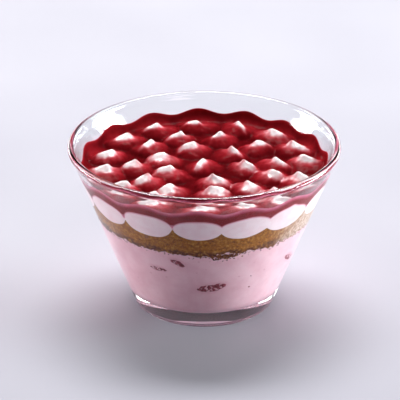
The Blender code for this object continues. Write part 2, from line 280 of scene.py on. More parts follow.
# Fruit specks in the cream: two that the photograph shows, as (angle in degrees, millimetres up), and
# small ones all round.
CLEAR_SPECKS = ((-60, 24.0), (-59, 18.5))
CLEAR_SPECK_SIZE = 0.6 * MM
CLEAR_SPECK_COLOUR = (0.30, 0.035, 0.06)
SPECK_COUNT = 46
SPECK_HEIGHTS = (12.0, 34.0)
SPECK_SIZES = (0.12, 0.34)
SPECK_COLOURS = ((0.45, 0.12, 0.16), (0.55, 0.25, 0.25), (0.35, 0.06, 0.08))

# Grains of both kinds.
GRAIN_FLATNESS = 0.7
GRAIN_ROUGHNESS = (0.65, 1.2)
GRAIN_THICKNESS = (0.55, 0.95)
GRAIN_INSET = 0.35  # of its half thickness, from the inner wall to a grain's middle

# Where each pattern starts in the noise, so that no two are alike.
RIPPLE_NOISE = 3.0
WARP_NOISES = (11.0, 23.0)
POOL_NOISE = 31.0
HILL_NOISE = 37.0
BLOTCH_NOISE = 41.0
EDGE_NOISES = (51.0, 57.0)
JUICE_NOISE = 61.0
SMEAR_NOISE = 63.0
FRUIT_NOISE = 80.0
FRUIT_NOISE_STEP = 4.7

# Materials.
FOOD_IOR = 1.4
NOISE_RANGE = (0.3, 0.7)  # where most of a noise texture's values lie
WHITE = (1.0, 1.0, 1.0)

# Lamps: name, azimuth, elevation, distance, width, height, watts, colour. Azimuth 0 is the side that
# the photograph shows, and 90 the right side.
LAMPS = (
    ("softbox_top", 180.0, 65.0, 0.75, 0.80, 0.36, 9.0, WHITE),
    ("softbox_right", 95.0, 7.0, 2.4, 2.10, 0.66, 117.0, (0.86, 1.0, 1.0)),
    ("softbox_left", -104.0, 7.0, 2.4, 1.65, 0.66, 54.0, WHITE),
    ("fill_front", 25.0, 40.0, 1.2, 0.6, 0.4, 1.5, (1.0, 0.84, 0.88)),
    ("strip_right", 146.0, 6.0, 0.7, 0.50, 0.16, 1.1, WHITE),
    ("strip_left", -146.0, 6.0, 0.7, 0.50, 0.16, 1.1, WHITE),
)
LAMP_AIM_HEIGHT = 0.045
LAMP_EDGE = 0.5  # a lamp's width goes from 0 to 1, so its edge is this far from its middle
LAMP_FULL = 0.3  # as far out as this a lamp is even, and then it fades
LAMP_GAIN = 1.54  # makes up for what the fading takes
ROOM_COLOUR = (0.66, 0.56, 0.64, 1.0)
ROOM_STRENGTH = 0.07
FLOOR_REACH = 4.0

# The camera, which stands where the photographer's did.
LENS = 198.5  # millimetres, as is the sensor's width
SENSOR_WIDTH = 36.0
CAMERA_ELEVATION = math.radians(25.8)
CAMERA_DISTANCE = 0.82
CAMERA_AIM_HEIGHT = 30 * MM
FOCAL_PIXELS = 2205.0  # about the lens in pixels of a picture 400 wide
AIM_PIXELS = (-4.2, 24.2)  # the picture's middle is this far right of the aim and above it
NEAREST = 0.01


def inner_wall(height, reach=0.0):
    return INNER_FOOT_RADIUS + WALL_FLARE * height + reach


def smooth_step(low, high, value):
    share = np.clip((value - low) / (high - low), 0.0, 1.0)
    return share * share * (3.0 - 2.0 * share)


def smooth_max(a, b, width):
    """The larger of two heights, blended where they are nearly equal."""
    share = np.clip(0.5 + 0.5 * (a - b) / width, 0.0, 1.0)
    return b + (a - b) * share + width * share * (1.0 - share)


def smooth_min(a, b, width):
    return -smooth_max(-a, -b, width)


def unevenness(x, y, z, size, seed, octaves=1):
    """Smooth noise between about -1 and 1, whose bumps are about this size."""
    shape = np.broadcast(x, y, z).shape
    points = [np.broadcast_to(v, shape).ravel() / size + seed for v in (x, y, z)]
    total = np.zeros(points[0].size)
    for octave in range(octaves):
        turns = 2.0**octave
        values = [noise.noise((a * turns, b * turns, c * turns)) for a, b, c in zip(*points)]
        total += np.array(values) / turns
    return total.reshape(shape)


def round_angles(count):
    return np.arange(count) * FULL_TURN / count


def ring_at(radius, angle, height):
    """Points at a radius and a height, for each angle."""
    return np.stack([radius * np.cos(angle), radius * np.sin(angle), height], axis=-1)


def link(name, mesh):
    piece = bpy.data.objects.new(name, mesh)
    bpy.context.scene.collection.objects.link(piece)
    return piece


def add_values(mesh, label, values):
    """Keeps a number or a colour for each of a mesh's points."""
    if values.shape[1] == 1:
        layer = mesh.attributes.new(label, "FLOAT", "POINT")
        layer.data.foreach_set("value", values.ravel())
    else:
        layer = mesh.attributes.new(label, "FLOAT_COLOR", "POINT")
        opaque = np.concatenate([values, np.ones((len(values), 1))], axis=1)
        layer.data.foreach_set("color", opaque.ravel())


def smooth_mesh(name, points, faces):
    mesh = bpy.data.meshes.new(name)
    mesh.from_pydata(points.tolist(), [], faces)
    mesh.shade_smooth()
    return mesh


def solid_of_rings(name, rings, first, last, values=None):
    """A closed solid from rings of points, from its top's middle down its side to its bottom's.

    rings has the shape (rings, points round, 3). values gives named numbers or colours for each of
    its points.
    """
    count, around = rings.shape[:2]
    points = np.concatenate([rings.reshape(-1, 3), [first], [last]])
    index = np.arange(count * around).reshape(count, around)
    after = np.roll(index, -1, axis=1)
    quads = np.stack([index[:-1], index[1:], after[1:], after[:-1]], axis=-1).reshape(-1, 4)
    top = count * around
    cap = [(top, int(a), int(b)) for a, b in zip(index[0], after[0])]
    cap += [(top + 1, int(b), int(a)) for a, b in zip(index[-1], after[-1])]
    mesh = smooth_mesh(name, points, quads.tolist() + cap)
    mesh.validate()
    for label, given in (values or {}).items():
        flat = given.reshape(count * around, -1)
        add_values(mesh, label, np.concatenate([flat, [flat[0]], [flat[-1]]]))
    mesh.set_sharp_from_angle(angle=SHARP_ANGLE)
    return link(name, mesh)


def finish_piece(piece, material, slot, *nodes):
    """Gives a piece its material and puts it in the place of CAD nodes."""
    piece.data.materials.append(material)
    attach(piece, "root")
    if nodes:
        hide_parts(*nodes)
    return piece


# Materials.


def material_with_shader(name, **values):
    material = bpy.data.materials.new(name)
    material.use_nodes = True
    shader = material.node_tree.nodes["Principled BSDF"]
    for socket, value in values.items():
        shader.inputs[socket.replace("_", " ")].default_value = value
    return material, material.node_tree, shader


def node(tree, kind, inputs=None, **settings):
    made = tree.nodes.new("ShaderNode" + kind)
    for key, value in settings.items():
        setattr(made, key, value)
    for key, value in (inputs or {}).items():
        if isinstance(value, bpy.types.NodeSocket):
            tree.links.new(value, made.inputs[key])
        else:
            made.inputs[key].default_value = value
    return made


def noise_value(tree, size, detail=2.0, roughness=0.5):
    """Noise whose blotches are about this size in metres."""
    place = node(tree, "TexCoord").outputs["Object"]
    inputs = {"Vector": place, "Scale": 1.0 / size, "Detail": detail, "Roughness": roughness}
    return node(tree, "TexNoise", inputs).outputs["Fac"]


def ramp(tree, value, *stops):
    """A colour ramp: stops are (position, colour)."""
    made = node(tree, "ValToRGB", {"Fac": value})
    elements = made.color_ramp.elements
    while len(elements) < len(stops):
        elements.new(0.5)
    for element, (position, colour) in zip(elements, stops):
        element.position = position
        element.color = (*colour, 1.0)
    return made.outputs["Color"]


def mixed(tree, factor, a, b, blend="MIX"):
    """Two colours mixed. Each is a socket or three numbers."""
    a, b = (v if isinstance(v, bpy.types.NodeSocket) else (*v, 1.0) for v in (a, b))
    # The sockets for colours are reached by their numbers, as others have the same names.
    inputs = {0: factor, 6: a, 7: b}
    return node(tree, "Mix", inputs, data_type="RGBA", blend_type=blend).outputs[2]


def ranged(tree, value, low, high, to_low, to_high):
    inputs = {"Value": value, "From Min": low, "From Max": high, "To Min": to_low, "To Max": to_high}
    return node(tree, "MapRange", inputs).outputs["Result"]


def paint(tree, shader, colour):
    tree.links.new(colour, shader.inputs["Base Color"])


def add_roughness(tree, shader, value, smooth, rough):
    """Roughness between two values, by a noise."""
    tree.links.new(ranged(tree, value, *NOISE_RANGE, smooth, rough), shader.inputs["Roughness"])


def add_bump(tree, shader, height, distance):
    bump = node(tree, "Bump", {"Height": height, "Distance": distance, "Strength": 1.0})
    tree.links.new(bump.outputs["Normal"], shader.inputs["Normal"])


def named(tree, label, output="Fac"):
    """A value that the mesh keeps for each point."""
    return node(tree, "Attribute", attribute_name=label).outputs[output]


def glass_material():
    """Clear glass. Light for what stands in it goes straight through."""
    material, tree, shader = material_with_shader(
        "clear_glass", Transmission_Weight=1.0, IOR=1.47, Roughness=0.0
    )
    cast = noise_value(tree, 30 * MM)
    tint = ramp(tree, cast, (0.3, (0.965, 0.98, 0.985)), (0.7, (0.985, 0.99, 0.99)))
    paint(tree, shader, tint)
    through = node(tree, "BsdfTransparent", {"Color": (0.93, 0.94, 0.95, 1.0)})
    path = node(tree, "LightPath")
    output = tree.nodes["Material Output"]
    surface = shader.outputs["BSDF"]
    for kind in ("Is Diffuse Ray", "Is Shadow Ray"):
        mix = node(tree, "MixShader", {0: path.outputs[kind], 1: surface, 2: through.outputs["BSDF"]})
        surface = mix.outputs["Shader"]
    tree.links.new(surface, output.inputs["Surface"])
    return material


def sauce_material():
    """Sauce in the colour that its thickness gives, glossy where it isn't dull."""
    material, tree, shader = material_with_shader(
        "glossy_berry_sauce",
        IOR=FOOD_IOR,
        Specular_IOR_Level=0.0,
        Coat_Roughness=0.08,
        Coat_IOR=1.5,
        Subsurface_Weight=0.15,
        Subsurface_Scale=1.2 * MM,
        Subsurface_Radius=(1.0, 0.25, 0.2),
    )
    blotches = noise_value(tree, 2.2 * MM, detail=3.0)
    shade = ramp(tree, blotches, (0.3, (0.80, 0.74, 0.74)), (0.65, WHITE))
    colour = mixed(tree, 1.0, named(tree, "tint", "Color"), shade, "MULTIPLY")
    paint(tree, shader, colour)
    gloss = ranged(tree, named(tree, "dull"), 0.0, 1.0, 0.85, 0.0)
    tree.links.new(gloss, shader.inputs["Coat Weight"])
    add_roughness(tree, shader, noise_value(tree, 1.6 * MM), 0.20, 0.32)
    add_bump(tree, shader, noise_value(tree, 2.6 * MM, detail=1.0), 0.16 * MM)
    return material


def white_cream_material():
    material, tree, shader = material_with_shader(
        "piped_white_cream",
        IOR=FOOD_IOR,
        Subsurface_Weight=0.3,
        Subsurface_Scale=1.0 * MM,
        Subsurface_Radius=(1.0, 0.8, 0.75),
    )
    clouds = noise_value(tree, 4.0 * MM, detail=4.0, roughness=0.6)
    colour = ramp(tree, clouds, (0.3, (0.94, 0.66, 0.71)), (0.6, (0.99, 0.76, 0.80)))
    colour = mixed(tree, 1.0, colour, named(tree, "tint", "Color"), "MULTIPLY")
    paint(tree, shader, colour)
    add_roughness(tree, shader, clouds, 0.32, 0.5)
    add_bump(tree, shader, noise_value(tree, 0.9 * MM), 0.04 * MM)
    return material


def strawberry_cream_material():
    """Pink cream with fine specks of fruit, stained by juice round the fruit pieces."""
    material, tree, shader = material_with_shader(
        "pink_strawberry_cream",
        IOR=FOOD_IOR,
        Subsurface_Weight=0.3,
        Subsurface_Scale=1.5 * MM,
        Subsurface_Radius=(1.0, 0.6, 0.6),
    )
    clouds = noise_value(tree, 7.0 * MM, detail=5.0, roughness=0.6)
    colour = ramp(tree, clouds, (0.3, (0.82, 0.445, 0.52)), (0.62, (0.91, 0.57, 0.635)))
    place = node(tree, "TexCoord").outputs["Object"]
    specks = node(tree, "TexVoronoi", {"Vector": place, "Scale": 260.0})
    speck = ranged(tree, specks.outputs["Distance"], 0.07, 0.13, 0.45, 0.0)
    colour = mixed(tree, speck, colour, (0.62, 0.22, 0.30))
    colour = mixed(tree, named(tree, "juice"), colour, (0.66, 0.20, 0.28))
    paint(tree, shader, colour)
    add_roughness(tree, shader, clouds, 0.35, 0.5)
    add_bump(tree, shader, noise_value(tree, 0.7 * MM, detail=3.0), 0.04 * MM)
    return material


def biscuit_material():
    """Golden crumb, darker along its lower edge and pale where cream is smeared over it."""
    material, tree, shader = material_with_shader(
        "pressed_biscuit_crumb", IOR=FOOD_IOR, Specular_IOR_Level=0.2
    )
    grain = noise_value(tree, 1.1 * MM, detail=4.0, roughness=0.7)
    broad = noise_value(tree, 5.0 * MM, detail=3.0)
    gold = ramp(
        tree,
        grain,
        (0.32, (0.12, 0.030, 0.001)),
        (0.45, (0.27, 0.082, 0.004)),
        (0.57, (0.39, 0.140, 0.012)),
        (0.70, (0.60, 0.30, 0.07)),
    )
    dark = ramp(
        tree,
        grain,
        (0.38, (0.05, 0.008, 0.001)),
        (0.52, (0.16, 0.04, 0.004)),
        (0.66, (0.42, 0.19, 0.04)),
    )
    creamy = ramp(
        tree,
        grain,
        (0.34, (0.36, 0.17, 0.10)),
        (0.5, (0.66, 0.44, 0.34)),
        (0.68, (0.88, 0.70, 0.62)),
    )
    uneven = ranged(tree, broad, *NOISE_RANGE, -0.3, 0.3)
    edge = node(tree, "Math", {0: named(tree, "low"), 1: uneven}, operation="ADD").outputs[0]
    colour = mixed(tree, ranged(tree, edge, 0.3, 0.8, 0.0, 1.0), gold, dark)
    colour = mixed(tree, named(tree, "smear"), colour, creamy)
    paint(tree, shader, colour)
    add_roughness(tree, shader, grain, 0.6, 0.85)
    add_bump(tree, shader, grain, 0.35 * MM)
    return material


def grain_material(name):
    """Loose grains, each of its own colour."""
    material, tree, shader = material_with_shader(name, IOR=FOOD_IOR, Specular_IOR_Level=0.1)
    grain = noise_value(tree, 0.4 * MM)
    shade = ramp(tree, grain, (0.3, (0.7, 0.65, 0.6)), (0.7, WHITE))
    colour = mixed(tree, 1.0, named(tree, "tint", "Color"), shade, "MULTIPLY")
    paint(tree, shader, colour)
    add_roughness(tree, shader, grain, 0.6, 0.9)
    return material


def fruit_material():
    material, tree, shader = material_with_shader(
        "strawberry_flesh",
        IOR=FOOD_IOR,
        Subsurface_Weight=0.2,
        Subsurface_Scale=0.8 * MM,
        Subsurface_Radius=(1.0, 0.3, 0.25),
    )
    pulp = noise_value(tree, 0.9 * MM, detail=3.0, roughness=0.6)
    colour = ramp(
        tree,
        pulp,
        (0.3, (0.12, 0.006, 0.012)),
        (0.52, (0.25, 0.02, 0.04)),
        (0.72, (0.50, 0.11, 0.15)),
    )
    paint(tree, shader, colour)
    add_roughness(tree, shader, pulp, 0.25, 0.5)
    add_bump(tree, shader, pulp, 0.1 * MM)
    return material


# The glass.


def arc(radius, height, size, start, end, steps):
    angles = (math.radians(start + (end - start) * step / steps) for step in range(steps + 1))
    return [(radius + size * math.cos(a), height + size * math.sin(a)) for a in angles]


def corner(foot_radius, floor, fillet, steps=14):
    """The fillet between a floor and the wall that rises from it."""
    middle = floor + fillet
    centre = foot_radius + WALL_FLARE * middle - fillet * SLANT
    return arc(centre, middle, fillet, -90.0, -math.degrees(WALL_ANGLE), steps)


def line(start, end, steps):
    """Points from one to the other, without the last."""
    return [
        tuple(a + (b - a) * step / steps for a, b in zip(start, end)) for step in range(steps)
    ]


def cup_profile():
    """(radius, height) from the floor's middle up the inside, over the rim and down to the foot's."""
    low = corner(INNER_FOOT_RADIUS, BASE_THICKNESS, FLOOR_FILLET)
    heel = corner(WALL_FOOT_RADIUS, 0.0, HEEL_FILLET)[::-1]
    bead_start = CUP_HEIGHT - BEAD_START
    inner_top = (inner_wall(bead_start), bead_start)
    outer_top = (WALL_FOOT_RADIUS + WALL_FLARE * bead_start, bead_start)
    bead_middle = (RIM_RADIUS - RIM_BEAD_RADIUS, CUP_HEIGHT - RIM_BEAD_RADIUS)
    bead = arc(*bead_middle, RIM_BEAD_RADIUS, *BEAD_TURN, steps=26)
    ring_inside = (heel[-1][0] - FOOT_RING_WIDTH, 0.0)
    recess = (ring_inside[0] - FOOT_RECESS, FOOT_RECESS)
    profile = line((FAN_RADIUS, BASE_THICKNESS), low[0], steps=8) + low[:-1]
    profile += line(low[-1], inner_top, steps=30)
    profile += line(inner_top, bead[0], steps=5) + bead[:-1]
    profile += line(bead[-1], outer_top, steps=5)
    profile += line(outer_top, heel[0], steps=34) + heel[:-1]
    profile += line(heel[-1], ring_inside, steps=3)
    profile += line(ring_inside, recess, steps=3)
    profile += line(recess, (FAN_RADIUS, FOOT_RECESS), steps=6)
    return profile


def make_glass():
    radius, height = np.array(cup_profile()).T
    r, a = radius[:, None], round_angles(CUP_SIDES)[None, :]
    x, y = r * np.cos(a), r * np.sin(a)
    z = np.broadcast_to(height[:, None], x.shape)
    wall = smooth_step(*RIPPLE_START, z) * smooth_step(CUP_HEIGHT, CUP_HEIGHT - RIPPLE_END, z)
    outside = r > inner_wall(z, 0.5 * WALL_THICKNESS)
    depth = np.where(outside | (z > CLIMB_HEIGHT + CLIMB_WAVE), RIPPLE, FILLED_RIPPLE)
    pattern = unevenness(x, y, z / RIPPLE_TALLNESS, RIPPLE_SIZE, RIPPLE_NOISE, octaves=2)
    ripple = depth * wall * pattern
    rings = np.stack([x + ripple * np.cos(a), y + ripple * np.sin(a), z], axis=-1)
    cup = solid_of_rings("clear_glass_cup", rings, (0, 0, BASE_THICKNESS), (0, 0, FOOT_RECESS))
    return finish_piece(cup, glass_material(), "glass", "glass_cup")


# The food's surfaces, as heights over the points of a level plan.


def dollop_list():
    """(x, y, lean x, lean y, size, radius) of each dollop, as in the CAD."""
    wander = random.Random(SEED)
    places = []
    for radius, angles in DOLLOP_RINGS:
        for angle in angles:
            turn = math.radians(angle)
            x = radius * math.cos(turn) + RING_JITTER * wander.uniform(-1.0, 1.0)
            y = radius * math.sin(turn) + RING_JITTER * wander.uniform(-1.0, 1.0)
            places.append((x, y, radius == DOLLOP_RINGS[-1][0]))
    wander = random.Random(SEED)
    dollops = []
    for x, y, at_glass in places:
        lean = Vector((wander.uniform(-1.0, 1.0), wander.uniform(-1.0, 1.0))) * TIP_WANDER
        if at_glass:
            lean -= Vector((x, y)).normalized() * TIP_LEAN
        size = 1.0 + DOLLOP_VARIATION * wander.uniform(-1.0, 1.0)
        radius = (WALL_DOLLOP_RADIUS if at_glass else DOLLOP_RADIUS) * size
        dollops.append((x, y, lean.x, lean.y, size, radius))
    return dollops


DOLLOPS = dollop_list()


def warped(x, y):
    """Shifts the plan a little, so that no dollop is quite round."""
    return (
        x + WARP * unevenness(x, y, 0.0, WARP_SIZE, WARP_NOISES[0]),
        y + WARP * unevenness(x, y, 0.0, WARP_SIZE, WARP_NOISES[1]),
    )


def patch_of(x, y, wander):
    """The way that a tip's pale patch points, as a unit vector, with its middle, size and plumpness.

    The patch is partly bare cream and partly a painted highlight. Its tail runs outwards to the left
    and right, and it is larger at the front.
    """
    side = math.tanh((x - PARTING_SLANT * y) / PARTING_WIDTH)
    side += TAIL_LEAST if side > 0.0 else -TAIL_LEAST
    turn = math.atan2(-TAIL_DROP, side) + wander.uniform(-TAIL_WANDER, TAIL_WANDER)
    front = 0.5 - 0.5 * y / DESSERT_RADIUS
    size = (PATCH_SIZES[0] + PATCH_SIZES[1] * front) * wander.uniform(*SIZE_VARIATION)
    plumpness = PATCH_PLUMPNESS[0] + PATCH_PLUMPNESS[1] * front
    plumpness *= wander.uniform(*PLUMPNESS_VARIATION)
    tail = (math.cos(turn), math.sin(turn))
    along = PATCH_OFFSET * PATCH_LENGTH * size
    middle = (tail[0] * along, tail[1] * along - PATCH_DROP * size * plumpness)
    return tail, middle, size, plumpness


def along_and_across(x, y, tail):
    """How far points are along a tail and to the left of it."""
    return x * tail[0] + y * tail[1], y * tail[0] - x * tail[1]


def share_of_dollop(x, y, lean_x, lean_y, radius):
    """How far points are from the middle of a dollop that leans, as a share of its radius."""
    share = np.hypot(x, y) / radius
    for _ in range(LEAN_ROUNDS):
        pull = np.clip(1.0 - share, 0.0, 1.0) ** 2
        share = 0.5 * share + 0.5 * np.hypot(x - lean_x * pull, y - lean_y * pull) / radius
    return share


def dollop_tops(x, y, grow, blend):
    """Height of the dollops, how far each point is from the nearest tip's pale patch, and its share.

    The patch is partly bare cream and partly a painted highlight. The distance is 1 at the patch's
    edge, and the share is that of the dollop's radius.
    """
    height = np.full(x.shape, NO_DOLLOP_HEIGHT)
    distance = np.full(x.shape, FAR)
    share = np.full(x.shape, FAR)
    wander = random.Random(SEED + 2)
    for cx, cy, lean_x, lean_y, size, radius in DOLLOPS:
        tail, middle, patch, plumpness = patch_of(cx, cy, wander)
        tip_height = SHOULDER_DROP * (1.0 + TIP_UNEVENNESS * wander.uniform(-1.0, 1.0))
        spike_height = SPIKE_HEIGHT * wander.uniform(0.0, 1.0)
        rise = DOLLOP_RISE * size + grow - SHOULDER_DROP
        radius = radius + grow
        near = np.hypot(x - cx, y - cy) < radius * SKIRT_SHARE
        from_x, from_y = x[near] - cx, y[near] - cy
        s = share_of_dollop(from_x, from_y, lean_x, lean_y, radius)
        inside = np.clip(1.0 - s, 0.0, 1.0)
        tip_x, tip_y = from_x - lean_x, from_y - lean_y
        along, across = along_and_across(tip_x, tip_y, tail)
        stretched = np.hypot(np.where(along > 0.0, along / CREST_STRETCH, along), across) / radius
        crest = s + (stretched - s) * inside
        ridge = np.exp(-((across / RIDGE_WIDTH) ** 2)) * smooth_step(*RIDGE_START, along)
        behind = np.clip(across * math.copysign(1.0, tail[0]), 0.0, None)
        z = DOLLOP_MIDDLE + rise * np.sqrt(np.clip(1.0 - crest * crest, 0.0, 1.0))
        z += tip_height * np.clip(1.0 - crest / TIP_SHARE, 0.0, 1.0) ** 2
        z += spike_height * np.exp(-((s / SPIKE_SHARE) ** 2))
        z += RIDGE_HEIGHT * ridge * np.clip(1.0 - s * s, 0.0, 1.0) ** RIDGE_FADE
        z -= FAR_FALL * behind * inside
        z -= np.clip(s - 1.0, 0.0, 1.0) * radius * SKIRT_SLOPE
        along, across = along_and_across(tip_x - middle[0], tip_y - middle[1], tail)
        length = PATCH_LENGTH * patch
        narrowing = 1.0 - PATCH_NARROWING * np.clip(along / length, *PATCH_ENDS)
        # How far from the pale patch, which is partly bare cream and partly a painted highlight.
        bare_and_highlit = np.hypot(along / length, across / (PATCH_WIDTH * patch * plumpness * narrowing))
        height[near] = smooth_max(height[near], z, blend)
        distance[near] = np.minimum(distance[near], bare_and_highlit)
        share[near] = np.minimum(share[near], s)
    return height, distance, share


def dollop_bottoms(x, y, blend):
    height = np.full(x.shape, CRUMB_TOP)
    for cx, cy, _, _, size, radius in DOLLOPS:
        s = np.hypot(x - cx, y - cy) / radius
        z = DOLLOP_MIDDLE - DOLLOP_DEPTH * size * np.sqrt(np.clip(1.0 - s * s, 0.0, 1.0))
        z += np.clip(s - 1.0, 0.0, 1.0) * radius * SKIRT_SLOPE
        height = smooth_min(height, z, blend)
    return height


def cream_top(x, y):
    height, _, _ = dollop_tops(*warped(x, y), 0.0, CREAM_BLEND)
    bed = np.where(np.hypot(x, y) < BED_RADIUS, BED_TOP, 0.0)
    return np.maximum(height, bed)


def cream_bottom(x, y):
    height = dollop_bottoms(*warped(x, y), CREAM_BLEND)
    bed = np.where(np.hypot(x, y) < BED_RADIUS, BED_BOTTOM, 1.0)
    return np.minimum(height, bed)


def climb_edge(angle):
    """Height of the sauce's edge on the glass, which follows the outer ring of dollops."""
    ring = np.radians(sorted(DOLLOP_RINGS[-1][1]))
    ring = np.append(ring, ring[0] + FULL_TURN)
    turn = (angle - ring[0]) % FULL_TURN + ring[0]
    after = np.clip(np.searchsorted(ring, turn, side="right"), 1, len(ring) - 1)
    phase = (turn - ring[after - 1]) / (ring[after] - ring[after - 1])
    return CLIMB_HEIGHT + CLIMB_WAVE * np.cos(FULL_TURN * phase)


def stepped(step, place, blotch):
    """One step of a cover, by how far out a place is, with a ragged edge."""
    amount, start, end, raggedness = step
    return amount * smooth_step(start, end, place + raggedness * blotch)


def sauce_top(x, y):
    """Height of the sauce, how much of it there is over the cream, in effect, and how dull it is."""
    hills, distance, share = dollop_tops(*warped(x, y), SAUCE_COAT, SAUCE_BLEND)
    hills += HILL_LUMPS * unevenness(x, y, 0.0, HILL_LUMP_SIZE, HILL_NOISE, octaves=2)
    pool = POOL_TOP + POOL_LUMPS * unevenness(x, y, 0.0, POOL_LUMP_SIZE, POOL_NOISE)
    height = smooth_max(hills, pool, SAUCE_BLEND)
    top = climb_edge(np.arctan2(y, x))
    inward = inner_wall(top) - np.hypot(x, y)
    climb = pool + (top - pool) * np.exp(-np.clip(inward, 0.0, None) / CLIMB_DECAY)
    height = smooth_max(height, climb, CLIMB_BLEND)
    blotch = unevenness(x, y, 0.0, BLOTCH_SIZE, BLOTCH_NOISE, octaves=2)
    # Little cover within the pale patches, which are partly bare cream and partly a painted highlight.
    cover = np.full(x.shape, BARE_AND_HIGHLIGHT_COVER)
    for step in PATCH_STEPS:
        cover += stepped(step, distance, blotch)
    cover += stepped(SHOULDER_STEP, share, blotch)
    crease = stepped((1.0, *CREASE_STEP[1:]), share, blotch)
    cover += CREASE_STEP[0] * crease
    near = np.clip(1.0 - inward / NEAR_GLASS, 0.0, 1.0)
    film = smooth_step(0.0, GLASS_COVER_DEPTH, top - height)
    cover = cover * (1.0 - near) + near * (GLASS_COVER[0] + GLASS_COVER[1] * film)
    dull = np.maximum(stepped(DULL_STEP, distance, blotch), smooth_step(0.0, NEAR_DULL, near))
    return height, cover, np.maximum(crease, dull)


def sauce_colour(cover):
    through = np.exp(-SAUCE_DIMMING * cover[..., None])
    own = SAUCE_ALONE * np.exp(-SAUCE_DARKENING * cover[..., None])
    return SAUCE_OVER * through + own * (1.0 - through)


def crumb_edge(angle):
    """Height of the crumb's lower edge at the glass, without its crumbs."""
    return STRAWBERRY_TOP - LAYER_DIP * np.cos(angle - LAYER_DIP_ANGLE)


def ragged_edge(angle):
    x, y = DESSERT_RADIUS * np.cos(angle), DESSERT_RADIUS * np.sin(angle)
    rough = np.zeros(angle.shape)
    for (depth, size), start in zip(EDGE_RAGS, EDGE_NOISES):
        rough += depth * unevenness(x, y, 0.0, size, start, octaves=2)
    return crumb_edge(angle) + rough


def plan_rings(surface, angle, shares, reach, edge=None):
    """Rings of a surface from near its middle out to the wall, where it ends on the wall's cone.

    edge gives its height there, or else it is found.
    """
    if edge is None:
        edge = np.full(angle.shape, EDGE_GUESS)
        for _ in range(EDGE_ROUNDS):
            radius = inner_wall(edge, reach)
            edge = surface(radius * np.cos(angle), radius * np.sin(angle))
    r = shares[:, None] * inner_wall(edge, reach)[None, :]
    x, y = r * np.cos(angle), r * np.sin(angle)
    z = surface(x, y)
    z[-1] = edge
    return np.stack([x, y, z], axis=-1)


def wall_rings(angle, top, bottom, steps, reach):
    """Rings down the wall between two heights, without either."""
    share = (np.arange(1, steps) / steps)[:, None]
    z = top[None, :] + (bottom - top)[None, :] * share
    return ring_at(inner_wall(z, reach), angle, z)


def spread(count, power):
    """Shares from near 0 up to 1. A power below 1 sets the last ones closer together."""
    return (np.arange(1, count + 1) / count) ** power


# The food's pieces.


def juice_in(points):
    """How far the cream at these points is stained by the fruit pieces."""
    juice = np.zeros(points.shape[:2])
    for turn, height, width, thickness, tilt in fruit_places():
        along, up = near_fruit(points, turn, height, tilt)
        reach = np.hypot(
            along / (width * 0.5 + JUICE_MARGIN), up / (thickness * 0.5 + JUICE_MARGIN)
        )
        juice = np.maximum(juice, JUICE_MOST * smooth_step(*JUICE_FADE, reach))
    blotch = unevenness(*np.moveaxis(points, -1, 0), JUICE_SIZE, JUICE_NOISE, octaves=2)
    return np.clip(juice * (JUICE_EVEN + JUICE_BLOTCHES * blotch), 0.0, 1.0)


def make_strawberry_cream():
    angle = round_angles(CREAM_SIDES)
    edge = crumb_edge(angle) + TUCK
    level = np.ones(angle.shape)
    flat = STRAWBERRY_TOP * level
    rings = [ring_at(share * inner_wall(flat), angle, flat) for share in LEVEL_SHARES]
    rings.append(ring_at(inner_wall(edge, CREAM_REACH), angle, edge))
    floor = BASE_THICKNESS - CREAM_REACH
    low = corner(INNER_FOOT_RADIUS + CREAM_REACH, floor, FLOOR_FILLET, steps=10)[::-1]
    rings += list(wall_rings(angle, edge, low[0][1] * level, CREAM_WALL_RINGS, CREAM_REACH))
    for radius, height in low + [(radius, floor) for radius in FLOOR_RADII]:
        rings.append(ring_at(radius, angle, height * level))
    rings = np.array(rings)
    piece = solid_of_rings(
        "strawberry_cream_layer",
        rings,
        (0, 0, STRAWBERRY_TOP),
        (0, 0, floor),
        {"juice": juice_in(rings)},
    )
    return finish_piece(piece, strawberry_cream_material(), "strawberry_cream", "strawberry_cream")


def smear_on(points, angle):
    """How far the crumb at these points is smeared with cream."""
    turned = (angle - SMEAR_ANGLE + math.pi) % FULL_TURN - math.pi
    smear = smooth_step(SMEAR_WIDTH, SMEAR_FULL * SMEAR_WIDTH, np.abs(turned))[None, :]
    blotch = unevenness(*np.moveaxis(points, -1, 0), SMEAR_SIZE, SMEAR_NOISE, octaves=2)
    return np.clip(SMEAR_AMOUNT * smear + SMEAR_BLOTCHES * blotch * smear, 0.0, SMEAR_MOST)


def make_crumb():
    angle = round_angles(CRUMB_SIDES)
    top = plan_rings(
        lambda x, y: cream_bottom(x, y) + CRUMB_OVERLAP,
        angle,
        spread(CRUMB_RINGS_OVER, CROWDING),
        CRUMB_REACH,
    )
    top[..., 2] = np.minimum(top[..., 2], CRUMB_TOP)
    low = ragged_edge(angle)
    side = wall_rings(angle, top[-1, :, 2], low, CRUMB_WALL_RINGS, CRUMB_REACH)
    bottom = []
    for share in CRUMB_BOTTOM_SHARES:
        z = low + (STRAWBERRY_TOP - low) * min(1.0, (1.0 - share) * LEVELLING)
        bottom.append(ring_at(share * inner_wall(low, CRUMB_REACH), angle, z))
    rings = np.concatenate([top, side, np.array(bottom)])
    above = rings[..., 2] - crumb_edge(angle)[None, :]
    piece = solid_of_rings(
        "biscuit_crumb_layer",
        rings,
        (0, 0, float(top[0, :, 2].mean())),
        (0, 0, STRAWBERRY_TOP),
        {"low": smooth_step(DARK_EDGE_HEIGHT, 0.0, above), "smear": smear_on(rings, angle)},
    )
    return finish_piece(piece, biscuit_material(), "biscuit", "biscuit_crumb")


